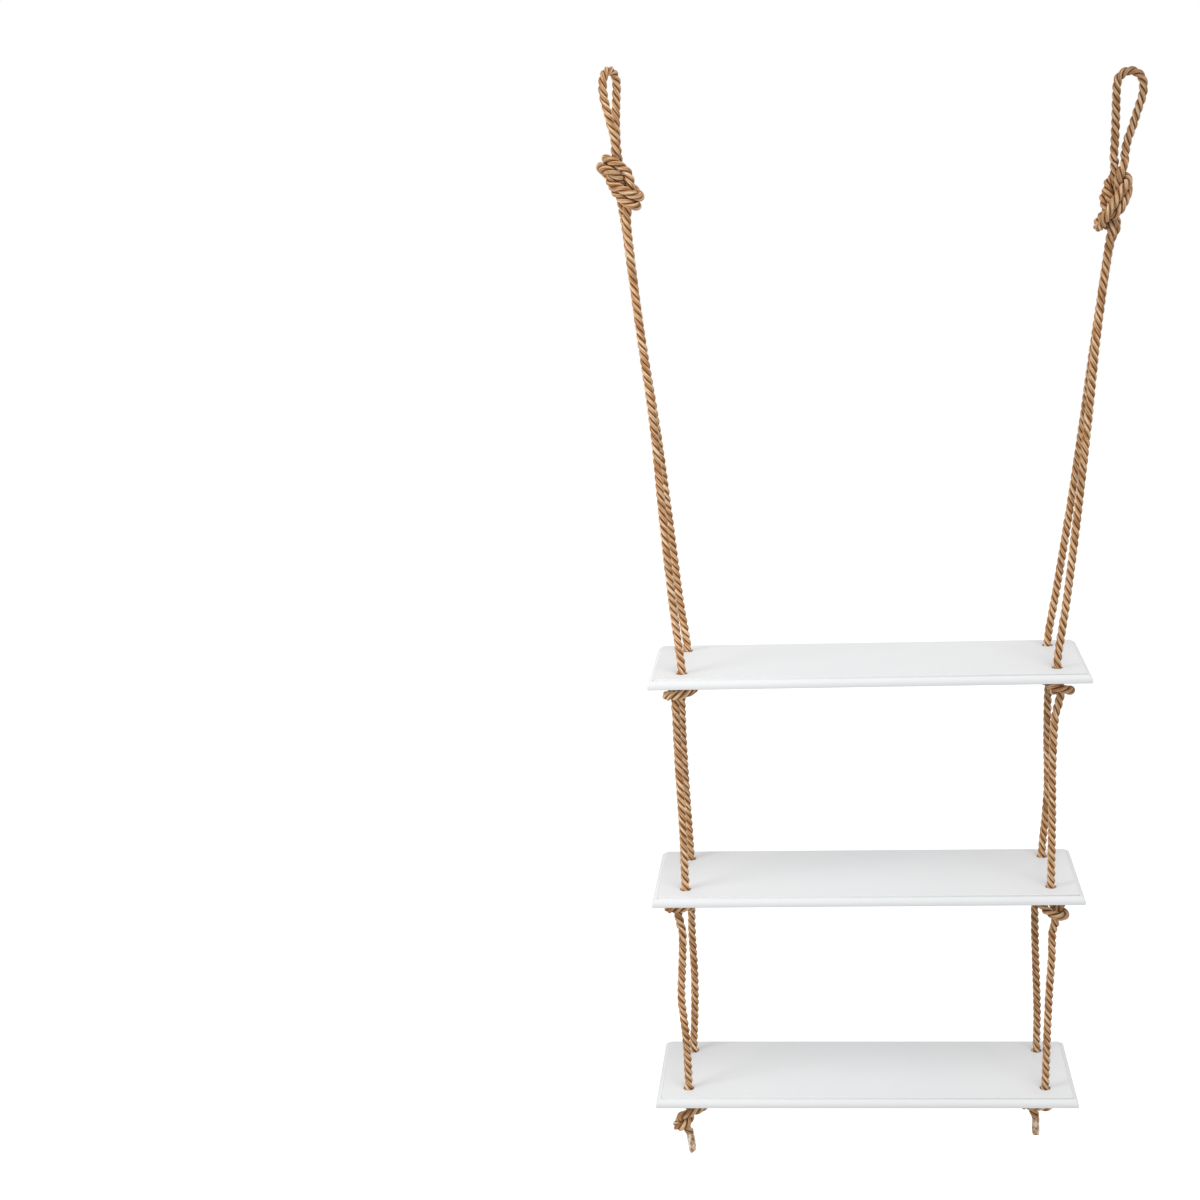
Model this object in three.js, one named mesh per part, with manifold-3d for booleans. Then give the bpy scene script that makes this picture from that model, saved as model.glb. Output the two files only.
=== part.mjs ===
// Hanging rope shelf: three moulded boards on two doubled ropes.
// Millimetres, +Z up, X along the boards, front towards -Y.
// The origin lies midway between the two hooks, on the line where the loops bear.
import * as THREE from "three";
import { mergeVertices } from "three/addons/utils/BufferGeometryUtils.js";
import Module from "manifold-3d";

const wasm = await Module();
wasm.setup();

// Driving dimensions
const boardLength = 430;
const boardDepth = 138;
const boardThickness = 9.5;
const holeFromEnd = 32;
const holeFromEdge = 26.5;
const ropeDiameter = 8.5;
const holeClearance = 2.5;
const hookSpacing = 484;
const touchGap = 0.3;
const spareTouch = 0.1;

// Board moulding and softened edges
const stepInset = 5.5;
const stepDrop = 1.5;
const undersideRound = 0.9;
const cornerRound = 2;
const innerCornerRound = 0.6;

// Tiers, top to bottom: how far each board's top hangs below the hooks, and its slight tilt
const upperBoardDrop = 562;
const middleBoardSpacing = 226;
const lowerBoardSpacing = 219;
const middleBoardDrop = upperBoardDrop + middleBoardSpacing;
const tiers = [
  { name: "upper", drop: upperBoardDrop, tiltDeg: 0.95 },
  { name: "middle", drop: middleBoardDrop, tiltDeg: 0.44 },
  { name: "lower", drop: middleBoardDrop + lowerBoardSpacing, tiltDeg: 0 },
];

// Loops over the hooks: a bight of this radius, and each leg's points from the knot up,
// from the hook's place. The neck is where the legs enter the knot.
const bightRadius = 12.3;
const loops = {
  left: {
    hookX: -hookSpacing / 2,
    bightX: -1.8,
    turnDeg: 64,
    neckX: 3.5,
    neckDrop: 66.5,
    frontLeg: [[1.6, -5.2, -55], [-1.4, -7, -43], [-4.4, -9.2, -30], [-6.8, -11, -17]],
    rearLeg: [[2.7, 5.2, -55], [2.2, 7, -43], [2.6, 9.1, -30], [3.2, 10.9, -17]],
  },
  right: {
    hookX: hookSpacing / 2,
    bightX: -1.4,
    turnDeg: 0,
    neckX: -9.4,
    neckDrop: 84,
    frontLeg: [[-14.3, 0, -75], [-13.9, 0, -60], [-13.8, 0, -46], [-13.9, 0, -31], [-14, 0, -17]],
    rearLeg: [[-4.3, 0, -75], [-2.4, 0, -60], [2.1, 0, -46], [6.4, 0, -31], [10.5, 0, -17]],
  },
};

// Doubled knots under the loops: height from neck to exit, how far the exit stands from the
// neck, the direction of the two strands at the neck, the turn at which the knot is first
// laid and how far its rope may stand sideways
const topKnotHeight = 62;
const topKnots = {
  left: { exitX: 5.6, neckDirectionDeg: 90, layTurnDeg: 0, halfWidth: 80 },
  right: { exitX: -7, neckDirectionDeg: 0, layTurnDeg: 200, halfWidth: 11.4 },
};

// Knots under the boards, by kind: how far below the board the rope leaves the knot
const knotDrops = { flat: 31, firm: 33, full: 35, last: 21.5, tall: 39 };

// Each knot's kind, its turn about the hole, which way it is tied, and how far its middle
// and the rope that leaves it stand from the hole, sideways and for some middles backwards
const stopperKnots = {
  upper: {
    front_left: { kind: "flat", turnDeg: 180, mirror: false, middleX: -2, exitX: -7 },
    rear_left: { kind: "flat", turnDeg: 140, mirror: false, middleX: -3, exitX: -7 },
    front_right: { kind: "firm", turnDeg: 210, mirror: true, middleX: 2, exitX: 0 },
    rear_right: { kind: "flat", turnDeg: 200, mirror: true, middleX: 1, exitX: 2 },
  },
  middle: {
    front_left: { kind: "flat", turnDeg: 170, mirror: false, middleX: -5, middleY: 4, exitX: -5 },
    rear_left: { kind: "flat", turnDeg: 250, mirror: false, middleX: -2, exitX: -2 },
    front_right: { kind: "full", turnDeg: 110, mirror: true, middleX: 2.5, exitX: 3.5 },
    rear_right: { kind: "firm", turnDeg: 310, mirror: false, middleX: -2, exitX: -4.5 },
  },
  lower: {
    front_left: { kind: "tall", turnDeg: 350, mirror: true, middleX: 1.5, exitX: 0 },
    rear_left: { kind: "last", turnDeg: 170, mirror: false, middleX: 0, exitX: -3 },
    front_right: { kind: "last", turnDeg: 150, mirror: false, middleX: -8.5, exitX: -9 },
    rear_right: { kind: "last", turnDeg: 120, mirror: true, middleX: 2, exitX: 4 },
  },
};

// Free stretches of rope: small bends as [share of the way down, sideways, forwards]
const ropeBends = {
  upper: {
    front_left: [[0.2, -0.4, 0], [0.45, 1.7, 0.6], [0.66, -0.4, 0], [0.86, -0.9, -0.5]],
    rear_left: [[0.25, -0.6, 0], [0.5, 1.2, -0.5], [0.72, 0.2, 0.4], [0.88, -0.8, 0]],
    front_right: [[0.21, -1, 0.3], [0.43, 0.8, 0], [0.64, 1.8, -0.6], [0.86, 1.6, 0]],
    rear_right: [[0.22, -0.6, 0], [0.45, 1, 0.4], [0.66, 1.4, 0], [0.86, 0.8, -0.3]],
  },
  middle: {
    front_left: [[0.3, -0.2, 0.6], [0.65, 0.7, -0.4]],
    rear_left: [[0.25, -1.2, 0], [0.6, -1, 0.5]],
    front_right: [[0.3, -1.6, 0.3], [0.65, -0.4, -0.5]],
    rear_right: [[0.3, 0.8, 0.4], [0.62, 3.2, 0]],
  },
  lower: {
    front_left: [[0.2, -1.4, 0], [0.43, -3.8, 0.6], [0.7, -0.6, 0]],
    rear_left: [[0.2, 0.4, 0], [0.55, 2.4, -0.5], [0.8, 1.6, 0]],
    front_right: [[0.15, 0.5, 0.2], [0.4, -0.3, 0.5], [0.68, -0.5, -0.3]],
    rear_right: [[0.2, -0.8, 0], [0.5, 0.2, 0.4], [0.75, 0.9, 0]],
  },
};
const leadIn = 5;

// Taped rope ends below the lowest board: the tape squeezes the rope to this diameter.
// Then their length below the knot, lean and slanted cut.
const tapedDiameter = 7;
const tailLeadIn = 1.2;
const tapeFromBend = 0.8;
const tapeWall = 0.35;
const tails = {
  front_left: { length: 22, leanX: 3.8, leanY: -1, cutDeg: 34 },
  rear_left: { length: 19.5, leanX: -1.5, leanY: 1, cutDeg: 12 },
  front_right: { length: 20.7, leanX: 0.9, leanY: -0.6, cutDeg: -6 },
  rear_right: { length: 17.5, leanX: 1.6, leanY: 0.8, cutDeg: 20 },
};

// Rope in each kind of knot beyond the straight way through, and the height of a knot
// under a board, all in rope diameters
const topKnotRopeShares = { left: 17.3, right: 18.8 };
const stopperRopeShares = { flat: 11.6, firm: 11.6, full: 11.9, last: 11.6, tall: 13.2 };
const stopperHeightShares = { flat: 2.1, firm: 2.45, full: 2.7, last: 2.1, tall: 4.7 };

// How a knot is pulled tight: spare room between turns, and the tightest bend of the rope
const turnGap = 0.6;
const bendShare = 0.63;
const singleRounds = 900;
const doubledRounds = 1500;
const ropeSides = 8;

const ropeRadius = ropeDiameter / 2;
const turnSpacing = ropeDiameter + turnGap;
const tightestBend = bendShare * ropeDiameter;
const holeRadius = (ropeDiameter + holeClearance) / 2;
const holeX = boardLength / 2 - holeFromEnd;
const holeY = boardDepth / 2 - holeFromEdge;
const rad = THREE.MathUtils.degToRad;

const ropeMaterial = { color: 0xb98a58, roughness: 0.95, metalness: 0 };
const boardMaterial = { color: 0xf1f1ef, roughness: 0.45, metalness: 0 };
const tapeMaterial = { color: 0xe6ddd2, roughness: 0.3, metalness: 0 };

const group = new THREE.Group();

function addMesh(parent, name, geometry, look) {
  const mesh = new THREE.Mesh(geometry, new THREE.MeshStandardMaterial(look));
  mesh.name = name;
  parent.add(mesh);
  return mesh;
}

// Boolean cuts

function toSolid(geometry) {
  const bare = geometry.clone();
  bare.deleteAttribute("normal");
  bare.deleteAttribute("uv");
  const merged = mergeVertices(bare);
  const triVerts = new Uint32Array(merged.index.array);
  const vertProperties = new Float32Array(merged.attributes.position.array);
  return new wasm.Manifold(new wasm.Mesh({ numProp: 3, vertProperties, triVerts }));
}

function toGeometry(solid) {
  const mesh = solid.getMesh();
  const geometry = new THREE.BufferGeometry();
  geometry.setAttribute("position", new THREE.BufferAttribute(mesh.vertProperties, 3));
  geometry.setIndex(new THREE.BufferAttribute(mesh.triVerts, 1));
  geometry.computeVertexNormals();
  return geometry;
}

// Boards: rounded rectangles lofted down the edge moulding, then bored for the ropes

function outlineRing(inset, z) {
  const halfX = boardLength / 2 - inset;
  const halfY = boardDepth / 2 - inset;
  const round = Math.max(cornerRound - inset, innerCornerRound);
  const perCorner = 3;
  const ring = [];
  const corners = [[1, 1], [-1, 1], [-1, -1], [1, -1]];
  corners.forEach(([sx, sy], corner) => {
    for (let i = 0; i < perCorner; i++) {
      const turn = (corner + i / (perCorner - 1)) * (Math.PI / 2);
      const x = sx * (halfX - round) + round * Math.cos(turn);
      const y = sy * (halfY - round) + round * Math.sin(turn);
      ring.push(new THREE.Vector3(x, y, z));
    }
  });
  return ring;
}

function edgeProfile() {
  const roundSteps = 6;
  const undersideSteps = 3;
  const stations = [[stepInset, 0], [stepInset, -stepDrop]];
  for (let i = 1; i <= roundSteps; i++) {
    const turn = (i / roundSteps) * (Math.PI / 2);
    stations.push([stepInset * (1 - Math.sin(turn)), -stepDrop - stepInset * (1 - Math.cos(turn))]);
  }
  for (let i = 0; i <= undersideSteps; i++) {
    const turn = (i / undersideSteps) * (Math.PI / 2);
    const inset = undersideRound * (1 - Math.cos(turn));
    stations.push([inset, -boardThickness + undersideRound * (1 - Math.sin(turn))]);
  }
  return stations;
}

function loft(rings) {
  const count = rings[0].length;
  const places = rings.flat().flatMap((p) => [p.x, p.y, p.z]);
  const faces = [];
  for (let r = 0; r < rings.length - 1; r++) {
    for (let i = 0; i < count; i++) {
      const a = r * count + i;
      const b = r * count + ((i + 1) % count);
      faces.push(a, a + count, b, b, a + count, b + count);
    }
  }
  const last = (rings.length - 1) * count;
  for (let i = 1; i < count - 1; i++) {
    faces.push(0, i, i + 1);
    faces.push(last, last + i + 1, last + i);
  }
  const geometry = new THREE.BufferGeometry();
  geometry.setAttribute("position", new THREE.Float32BufferAttribute(places, 3));
  geometry.setIndex(faces);
  return geometry;
}

function boardGeometry() {
  const overrun = boardThickness;
  const holeSides = 20;
  let solid = toSolid(loft(edgeProfile().map(([inset, z]) => outlineRing(inset, z))));
  for (const sx of [-1, 1]) {
    for (const sy of [-1, 1]) {
      const height = boardThickness + 2 * overrun;
      const bore = new THREE.CylinderGeometry(holeRadius, holeRadius, height, holeSides);
      bore.rotateX(Math.PI / 2);
      bore.translate(sx * holeX, sy * holeY, -boardThickness / 2);
      solid = solid.subtract(toSolid(bore));
    }
  }
  return toGeometry(solid);
}

// Ropes: round tubes swept along smooth routes

function routeLength(points) {
  let length = 0;
  for (let i = 1; i < points.length; i++) {
    length += points[i].distanceTo(points[i - 1]);
  }
  return length;
}

function evenPoints(points, count) {
  const curve = new THREE.CatmullRomCurve3(points, false, "centripetal");
  curve.arcLengthDivisions = 1200;
  return curve.getSpacedPoints(count - 1);
}

function ropeGeometry(points, steps, radius = ropeRadius) {
  const section = new THREE.Shape();
  for (let i = 0; i < ropeSides; i++) {
    const turn = (i / ropeSides) * 2 * Math.PI;
    const x = radius * Math.cos(turn);
    const y = radius * Math.sin(turn);
    if (i === 0) section.moveTo(x, y);
    else section.lineTo(x, y);
  }
  section.closePath();
  const path = new THREE.CatmullRomCurve3(points, false, "centripetal");
  path.arcLengthDivisions = 1200;
  return new THREE.ExtrudeGeometry(section, { steps, extrudePath: path });
}

// Knots: an overhand knot is laid loosely as a polynomial long trefoil,
// and its rope is then drawn out through both ends until the turns bear on each other

function looseOverhand(count, width, reach, height) {
  const span = 1.98;
  const points = [];
  for (let i = 0; i < count; i++) {
    const t = span * ((2 * i) / (count - 1) - 1);
    const x = width * (t ** 3 - 3 * t);
    const y = reach * (t ** 4 - 4 * t ** 2);
    const z = height * (10 * t - t ** 5);
    points.push(new THREE.Vector3(x, y, z));
  }
  return points;
}

function pushApart(a, b, freeA, freeB, change) {
  const dx = b.x - a.x;
  const dy = b.y - a.y;
  const dz = b.z - a.z;
  const distance = Math.sqrt(dx * dx + dy * dy + dz * dz);
  const step = (change(distance) / distance) * (freeA && freeB ? 0.5 : 1);
  if (freeA) {
    a.x -= dx * step;
    a.y -= dy * step;
    a.z -= dz * step;
  }
  if (freeB) {
    b.x += dx * step;
    b.y += dy * step;
    b.z += dz * step;
  }
}

function keepSpacing(chain, spacing, isFree) {
  const last = chain.length - 1;
  const passes = 6;
  for (let pass = 0; pass < passes; pass++) {
    for (let k = 1; k <= last; k++) {
      const i = pass % 2 ? last + 1 - k : k;
      if (!isFree(i - 1) && !isFree(i)) continue;
      pushApart(chain[i - 1], chain[i], isFree(i - 1), isFree(i), (d) => spacing - d);
    }
  }
}

function relaxBends(chain, isFree) {
  const softness = 0.03;
  for (let i = 1; i < chain.length - 1; i++) {
    if (!isFree(i)) continue;
    const middle = chain[i - 1].clone().add(chain[i + 1]).multiplyScalar(0.5);
    chain[i].lerp(middle, softness);
  }
}

function centreKnot(chains, isFree, place) {
  const quarter = chains[0].length / 4;
  const pull = 0.04;
  const middle = new THREE.Vector3();
  let counted = 0;
  for (const chain of chains) {
    for (let i = Math.floor(quarter); i < 3 * quarter; i++) {
      middle.add(chain[i]);
      counted += 1;
    }
  }
  middle.divideScalar(counted).sub(place).multiplyScalar(pull);
  for (const chain of chains) {
    chain.forEach((point, i) => {
      const weight = Math.min(1, i / quarter, (chain.length - 1 - i) / quarter);
      if (isFree(i)) point.addScaledVector(middle, -weight);
    });
  }
}

function keepTurnsApart(chains, spacings, isFree) {
  for (let c = 0; c < chains.length; c++) {
    for (let e = c; e < chains.length; e++) {
      for (let i = 0; i < chains[c].length; i++) {
        for (let k = e === c ? i + 3 : 0; k < chains[e].length; k++) {
          const along = e === c ? (k - i) * spacings[c] : Infinity;
          const bending = along < Math.PI * tightestBend;
          const chord = 2 * tightestBend * Math.sin(along / (2 * tightestBend));
          const least = bending ? Math.min(turnSpacing, chord) : turnSpacing;
          const a = chains[c][i];
          const b = chains[e][k];
          if (a.distanceToSquared(b) >= least * least) continue;
          if (!isFree(i) && !isFree(k)) continue;
          pushApart(a, b, isFree(i), isFree(k), (d) => least - d);
        }
      }
    }
  }
}

function pullTight(chains, { ends, length, rounds, place, holdShape }) {
  const count = chains[0].length;
  const heldAtTop = 4;
  const heldAtBottom = 2;
  const isFree = (i) => i >= heldAtTop && i < count - heldAtBottom;
  const starts = chains.map((chain) => [chain[0].clone(), chain[count - 1].clone()]);
  const startLengths = chains.map(routeLength);
  const settleShare = 0.8;
  for (let round = 0; round < rounds; round++) {
    const drawn = Math.min(1, round / (rounds * settleShare));
    const spacings = startLengths.map((start) => (start + (length - start) * drawn) / (count - 1));
    chains.forEach((chain, c) => {
      const top = starts[c][0].clone().lerp(ends[c][0], drawn);
      const bottom = starts[c][1].clone().lerp(ends[c][1], drawn);
      for (let i = 0; i < heldAtTop; i++) {
        chain[i].set(top.x, top.y, top.z - i * spacings[c]);
      }
      for (let i = 0; i < heldAtBottom; i++) {
        chain[count - 1 - i].set(bottom.x, bottom.y, bottom.z + i * spacings[c]);
      }
    });
    for (let pass = 0; pass < 3; pass++) {
      chains.forEach((chain, c) => keepSpacing(chain, spacings[c], isFree));
      centreKnot(chains, isFree, place.clone().multiplyScalar(drawn));
      chains.forEach((chain) => relaxBends(chain, isFree));
      keepTurnsApart(chains, spacings, isFree);
      chains.forEach((chain, c) => holdShape(chain, drawn, spacings[c]));
    }
  }
  return chains;
}

// Under a board the turns stay within the knot's height, and the rope that comes
// through the hole keeps clear of its wall and of its lower rim
function holdUnderBoard(chain, drawn, spacing, halfHeight) {
  const count = chain.length;
  const top = chain[0];
  const bottom = chain[count - 1];
  const first = Math.ceil((top.z - halfHeight) / spacing) + 1;
  const last = count - 2 - Math.ceil((-bottom.z - halfHeight) / spacing);
  for (let i = first; i <= last; i++) {
    const within = THREE.MathUtils.clamp(chain[i].z, -halfHeight, halfHeight);
    chain[i].z += (within - chain[i].z) * Math.min(1, 1.5 * drawn);
  }
  const clearance = ropeRadius + touchGap + spareTouch;
  const underside = halfHeight + ropeRadius + touchGap;
  for (let i = 4; i < first; i++) {
    const below = Math.min(clearance, Math.max(0, underside - chain[i].z));
    const mostAway = holeRadius - Math.sqrt(clearance ** 2 - below ** 2);
    const away = Math.hypot(chain[i].x, chain[i].y);
    if (below === clearance || away <= mostAway) continue;
    chain[i].x *= mostAway / away;
    chain[i].y *= mostAway / away;
  }
}

// A doubled knot keeps within its width
function holdWidth(chain, drawn, halfWidth) {
  const nearEnds = 8;
  for (let i = nearEnds; i < chain.length - nearEnds; i++) {
    const within = THREE.MathUtils.clamp(chain[i].x, -halfWidth, halfWidth);
    chain[i].x += (within - chain[i].x) * 0.5 * drawn;
  }
}

// The route between two heights, with its ends exactly there
function trimRoute(route, top, bottom) {
  const atHeight = (a, b, z) => a.clone().lerp(b, (a.z - z) / (a.z - b.z));
  const first = Math.max(1, route.findIndex((p) => p.z < top));
  const below = route.length - 1 - [...route].reverse().findIndex((p) => p.z > bottom);
  const last = Math.min(route.length - 2, below);
  const start = atHeight(route[first - 1], route[first], top);
  const end = atHeight(route[last], route[last + 1], bottom);
  const nearEnds = ropeRadius / 4;
  const inner = route.slice(first, last + 1);
  const kept = inner.filter((p) => p.distanceTo(start) > nearEnds && p.distanceTo(end) > nearEnds);
  return [start, ...kept, end];
}

// Least gap between the turns of a knot, on close points of its centre lines
function leastTurnGap(chains) {
  const finer = 3;
  const dense = chains.map((chain) => evenPoints(chain, chain.length * finer));
  let least = Infinity;
  dense.forEach((a, c) => {
    const skip = Math.ceil((Math.PI * tightestBend) / (routeLength(a) / (a.length - 1)));
    dense.slice(c).forEach((b, e) => {
      for (let i = 0; i < a.length; i++) {
        for (let k = e === 0 ? i + skip : 0; k < b.length; k++) {
          least = Math.min(least, a[i].distanceTo(b[k]));
        }
      }
    });
  });
  return least - ropeDiameter;
}

const ropeLengths = {};
const turnGaps = {};
const mirrored = (points) => points.map((p) => new THREE.Vector3(-p.x, p.y, p.z));
const zAxis = new THREE.Vector3(0, 0, 1);

// A knot under a board, in the frame of its hole: z is zero at the board's underside
function stopperRoute({ kind, turnDeg, mirror, middleX, middleY = 0, exitX }) {
  const count = 60;
  const halfHeight = ((stopperHeightShares[kind] - 1) / 2) * ropeDiameter;
  const depth = halfHeight + ropeRadius + touchGap;
  const beyond = 0.4 * ropeDiameter;
  const above = depth + boardThickness + beyond;
  const below = knotDrops[kind] - depth + beyond;
  const inKnot = (x, y, z) => {
    const point = new THREE.Vector3(x, y, z).applyAxisAngle(zAxis, -rad(turnDeg));
    if (mirror) point.x = -point.x;
    return point;
  };
  const start = looseOverhand(80, 1.5 * ropeDiameter, 1.1 * ropeDiameter, 0.5 * ropeDiameter);
  const chain = evenPoints(start, count);
  pullTight([chain], {
    ends: [[inKnot(0, 0, above), inKnot(exitX, 0, -below)]],
    length: above + below + stopperRopeShares[kind] * ropeDiameter,
    rounds: singleRounds,
    place: inKnot(middleX, middleY, 0),
    holdShape: (points, drawn, spacing) => holdUnderBoard(points, drawn, spacing, halfHeight),
  });
  const tied = mirror ? mirrored(chain) : chain;
  const lowered = tied.map((p) => new THREE.Vector3(p.x, p.y, p.z - depth));
  const placed = lowered.map((p) => p.applyAxisAngle(zAxis, rad(turnDeg)));
  return trimRoute(placed, boardThickness, -knotDrops[kind]);
}

// The two strands of a knot under a loop, laid side by side and pulled tight together.
// The first strand is the one that leaves towards the front.
function doubledKnotRoutes({ halfWidth, neckDirectionDeg, layTurnDeg }, ropeShare) {
  const count = 90;
  const reach = 6 * ropeDiameter;
  const start = looseOverhand(120, 3.2 * ropeDiameter, 2.4 * ropeDiameter, 1.15 * ropeDiameter);
  const turned = start.map((p) => p.applyAxisAngle(zAxis, rad(layTurnDeg)));
  const middle = evenPoints(turned, count);
  const side = new THREE.Vector3(0, 1, 0).applyAxisAngle(zAxis, rad(layTurnDeg));
  const spread = 0.55 * turnSpacing;
  const strands = [[], []];
  middle.forEach((p, i) => {
    const before = middle[Math.max(0, i - 1)];
    const along = middle[Math.min(count - 1, i + 1)].clone().sub(before).normalize();
    side.addScaledVector(along, -side.dot(along)).normalize();
    strands[0].push(p.clone().addScaledVector(side, -spread));
    strands[1].push(p.clone().addScaledVector(side, spread));
  });
  const half = (turnSpacing + spareTouch) / 2;
  const neckX = half * Math.cos(rad(neckDirectionDeg));
  const neckY = half * Math.sin(rad(neckDirectionDeg));
  const ends = [
    [new THREE.Vector3(-neckX, -neckY, reach), new THREE.Vector3(0, -half, -reach)],
    [new THREE.Vector3(neckX, neckY, reach), new THREE.Vector3(0, half, -reach)],
  ];
  pullTight(strands, {
    ends,
    length: 2 * reach + ropeShare * ropeDiameter,
    rounds: doubledRounds,
    place: new THREE.Vector3(),
    holdShape: (points, drawn) => holdWidth(points, drawn, halfWidth),
  });
  return strands.map((strand) => trimRoute(strand, topKnotHeight / 2, -topKnotHeight / 2));
}

// The end of a route, and the direction in which the rope leaves it, in the part's frame
function routeEnd(last, beforeLast, frame) {
  const away = last.clone().sub(beforeLast).normalize().transformDirection(frame.matrixWorld);
  return { point: frame.localToWorld(last.clone()), away };
}

function addRope(parent, name, route, spacing) {
  const length = routeLength(evenPoints(route, 200));
  ropeLengths[name] = length;
  return addMesh(parent, name, ropeGeometry(route, Math.round(length / spacing)), ropeMaterial);
}

// Building

const knotStep = 0.5 * ropeDiameter;
const loopStep = 0.8 * ropeDiameter;
const legStep = 2.3 * ropeDiameter;

function bightPoints(loop) {
  const centre = new THREE.Vector3(loop.bightX, 0, ropeRadius - bightRadius);
  const across = new THREE.Vector3(-Math.cos(rad(loop.turnDeg)), -Math.sin(rad(loop.turnDeg)), 0);
  const points = [];
  const count = 7;
  for (let i = 0; i < count; i++) {
    const turn = (i / (count - 1)) * Math.PI;
    const point = centre.clone().addScaledVector(across, bightRadius * Math.cos(turn));
    points.push(point.addScaledVector(zAxis, bightRadius * Math.sin(turn)));
  }
  return points;
}

// A loop, its doubled knot and the two places where the strands leave the knot
function buildHanger(side) {
  const loop = loops[side];
  const knot = topKnots[side];
  const hanger = new THREE.Group();
  hanger.position.x = loop.hookX;
  group.add(hanger);
  const neck = new THREE.Vector3(loop.neckX, 0, -loop.neckDrop);
  const lean = Math.asin(knot.exitX / topKnotHeight);
  const placed = new THREE.Group();
  placed.rotation.y = -lean;
  const up = zAxis.clone().applyEuler(placed.rotation);
  placed.position.copy(neck).addScaledVector(up, -topKnotHeight / 2);
  hanger.add(placed);
  const strands = doubledKnotRoutes(knot, topKnotRopeShares[side]);
  turnGaps[`${side}_top_knot`] = leastTurnGap(strands);
  ["front", "rear"].forEach((row, i) => {
    addRope(placed, `${side}_top_knot_${row}_strand`, strands[i], knotStep);
  });
  group.updateMatrixWorld(true);
  const necks = strands.map((strand) => {
    const neck = routeEnd(strand[0], strand[1], placed);
    neck.point = hanger.worldToLocal(neck.point).addScaledVector(neck.away, touchGap);
    return neck;
  });
  const ends = necks.map(({ point, away }) => [point, point.clone().addScaledVector(away, leadIn)]);
  const legPoints = (points) => points.map(([x, y, z]) => new THREE.Vector3(x, y, z));
  const route = [
    ...ends[0],
    ...legPoints(loop.frontLeg),
    ...bightPoints(loop),
    ...legPoints(loop.rearLeg).reverse(),
    ...ends[1].reverse(),
  ];
  addRope(hanger, `${side}_loop`, route, loopStep);
  return strands.map((strand) => routeEnd(strand.at(-1), strand.at(-2), placed));
}

// A free stretch of rope from a knot's exit to the top of a hole
function stretchRoute(exit, hole, bends) {
  const start = exit.point.clone().addScaledVector(exit.away, touchGap);
  const end = hole.point.clone().addScaledVector(hole.away, touchGap);
  const from = start.clone().addScaledVector(exit.away, leadIn);
  const to = end.clone().addScaledVector(hole.away, leadIn);
  const bent = bends.map(([share, x, y]) => from.clone().lerp(to, share).add(new THREE.Vector3(x, y, 0)));
  return [start, from, ...bent, to, end];
}

// The rope below the last knot: it leaves the knot straight, bends, and ends in a slanted cut.
// A thin sleeve of tape is wound round its straight part and cut with it.
function buildTail(board, name, exit, away, tail) {
  const start = exit.clone().addScaledVector(away, touchGap);
  const bend = start.clone().addScaledVector(away, tailLeadIn);
  const tip = start.clone().add(new THREE.Vector3(tail.leanX, tail.leanY, -tail.length));
  const along = tip.clone().sub(bend).normalize();
  const cutSize = 4 * ropeDiameter;
  const cutter = new THREE.BoxGeometry(cutSize, cutSize, cutSize);
  cutter.translate(0, 0, -cutSize / 2);
  cutter.rotateY(-rad(tail.cutDeg));
  cutter.translate(tip.x, tip.y, tip.z);
  const cut = (geometry) => toGeometry(toSolid(geometry).subtract(toSolid(cutter)));
  const beyond = tip.clone().addScaledVector(along, ropeDiameter);
  const straight = [0.25, 0.5, 0.75].map((share) => bend.clone().lerp(beyond, share));
  const route = [start, bend, ...straight, beyond];
  addMesh(board, `${name}_tail`, cut(ropeGeometry(route, 8, tapedDiameter / 2)), ropeMaterial);
  ropeLengths[`${name}_tail`] = routeLength([start, bend, tip]);

  const inner = tapedDiameter / 2 + touchGap;
  const outer = inner + tapeWall;
  const top = tip.distanceTo(bend) - tapeFromBend;
  const profile = [[inner, -ropeDiameter], [outer, -ropeDiameter], [outer, top], [inner, top]];
  const ring = [...profile, profile[0]].map(([x, y]) => new THREE.Vector2(x, y));
  const tape = new THREE.LatheGeometry(ring, 2 * ropeSides);
  const upwards = along.clone().negate();
  tape.applyQuaternion(new THREE.Quaternion().setFromUnitVectors(new THREE.Vector3(0, 1, 0), upwards));
  tape.translate(tip.x, tip.y, tip.z);
  addMesh(board, `${name}_tape`, cut(tape), tapeMaterial);
}

const boardShape = boardGeometry();
const sides = { left: -1, right: 1 };
const rows = { front: -1, rear: 1 };
const ropes = [];
for (const [side, sx] of Object.entries(sides)) {
  const strandExits = buildHanger(side);
  Object.entries(rows).forEach(([row, sy], i) => {
    ropes.push({ name: `${row}_${side}`, sx, sy, exit: strandExits[i] });
  });
}

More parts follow.
